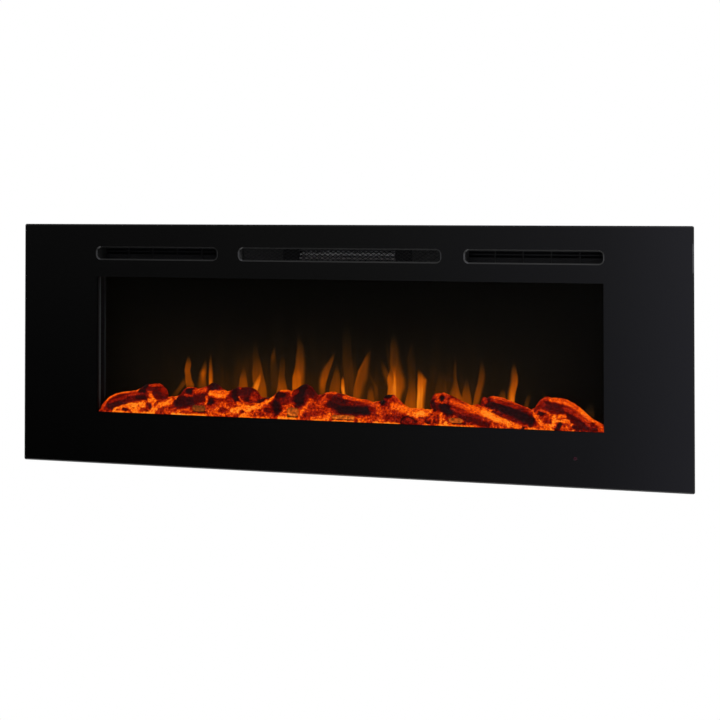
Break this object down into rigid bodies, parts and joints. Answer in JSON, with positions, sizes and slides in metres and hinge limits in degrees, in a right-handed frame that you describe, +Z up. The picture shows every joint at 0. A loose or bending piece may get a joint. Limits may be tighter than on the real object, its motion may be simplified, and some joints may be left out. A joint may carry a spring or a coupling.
{
  "type": "electric fireplace",
  "caption": "Wall-recessed linear electric fireplace: black glass front with a clear flame window, air slots, log bed, flame rotor, heater and blower.",
  "frame": {"origin": "centre of the four wall screws on the wall plane, at the mid-height of the front glass", "axes": "+X along the fireplace to the viewer's right, +Y into the wall, +Z up"},
  "size_m": [1.524, 0.14, 0.546],
  "materials": {
    "clear_glass": "polished tempered glass",
    "black_enamel": "fired black enamel",
    "black_steel": "satin black powder coat",
    "plain_steel": "bare zinc-coated sheet",
    "black_plastic": "moulded black",
    "cream_plastic": "heat-proof moulding",
    "fin_aluminium": "bright",
    "motor_steel": "pressed can",
    "brass": "sintered bush",
    "smoked_screen": "smoked diffusing sheet",
    "ember_resin": "cast glowing ember bed",
    "charred_resin": "cast charred wood",
    "green_board": "circuit board"
  },
  "bodies": {
    "frame": {"front_glass": "clear_glass", "glass_enamel": "black_enamel", "frame_rail_top": "black_steel", "frame_rail_bottom": "black_steel", "frame_rail_left": "black_steel", "frame_rail_right": "black_steel", "housing_back": "black_steel", "housing_top": "black_steel", "housing_bottom": "black_steel", "housing_left": "black_steel", "housing_right": "black_steel", "compartment_shelf": "plain_steel", "intake_duct_left": "plain_steel", "intake_duct_right": "plain_steel", "intake_grille_left": "black_plastic", "intake_grille_right": "black_plastic", "outlet_duct": "plain_steel", "outlet_guard": "black_steel", "ptc_core": "fin_aluminium", "ptc_end_left": "black_plastic", "ptc_end_right": "black_plastic", "blower_scroll": "plain_steel", "blower_tongue": "plain_steel", "blower_end_left": "plain_steel", "blower_end_right": "plain_steel", "blower_bush": "brass", "blower_motor": "motor_steel", "thermal_cutout": "cream_plastic", "firebox_floor": "black_steel", "firebox_cheek_left": "black_steel", "firebox_cheek_right": "black_steel", "screen_channel_top": "black_steel", "screen_channel_bottom": "black_steel", "flame_screen": "smoked_screen", "ember_bed": "ember_resin", "ember_led_strip": "green_board", "flame_mask": "plain_steel", "rotor_bracket_left": "plain_steel", "rotor_bracket_right": "plain_steel", "rotor_motor": "motor_steel", "led_rail": "plain_steel", "flame_led_strip": "green_board", "fascia_bottom": "black_steel", "touch_board": "green_board", "power_board": "green_board", "switch_housing": "black_plastic", "cable_gland": "black_plastic", "log_a": "charred_resin", "log_b": "charred_resin", "log_c": "charred_resin", "log_d": "charred_resin", "log_e": "charred_resin", "log_f": "charred_resin", "log_g": "charred_resin", "log_h": "charred_resin", "log_i": "charred_resin"},
    "blower": {"blower_wheel": "fin_aluminium"},
    "rotor": {"flame_rotor": "fin_aluminium"},
    "rocker": {"switch_rocker": "black_plastic"}
  },
  "joints": [
    {"name": "blower_spin", "type": "hinge", "parent": "frame", "child": "blower", "pos_m": [0, 0.09, 0.197], "axis": [1, 0, 0], "continuous": true},
    {"name": "rotor_spin", "type": "hinge", "parent": "frame", "child": "rotor", "pos_m": [0, 0.08, -0.12], "axis": [1, 0, 0], "continuous": true},
    {"name": "switch_rock", "type": "hinge", "parent": "frame", "child": "rocker", "pos_m": [0.716, 0.06, -0.15], "axis": [0, -1, 0], "range_deg": [0, 14]}
  ]
}
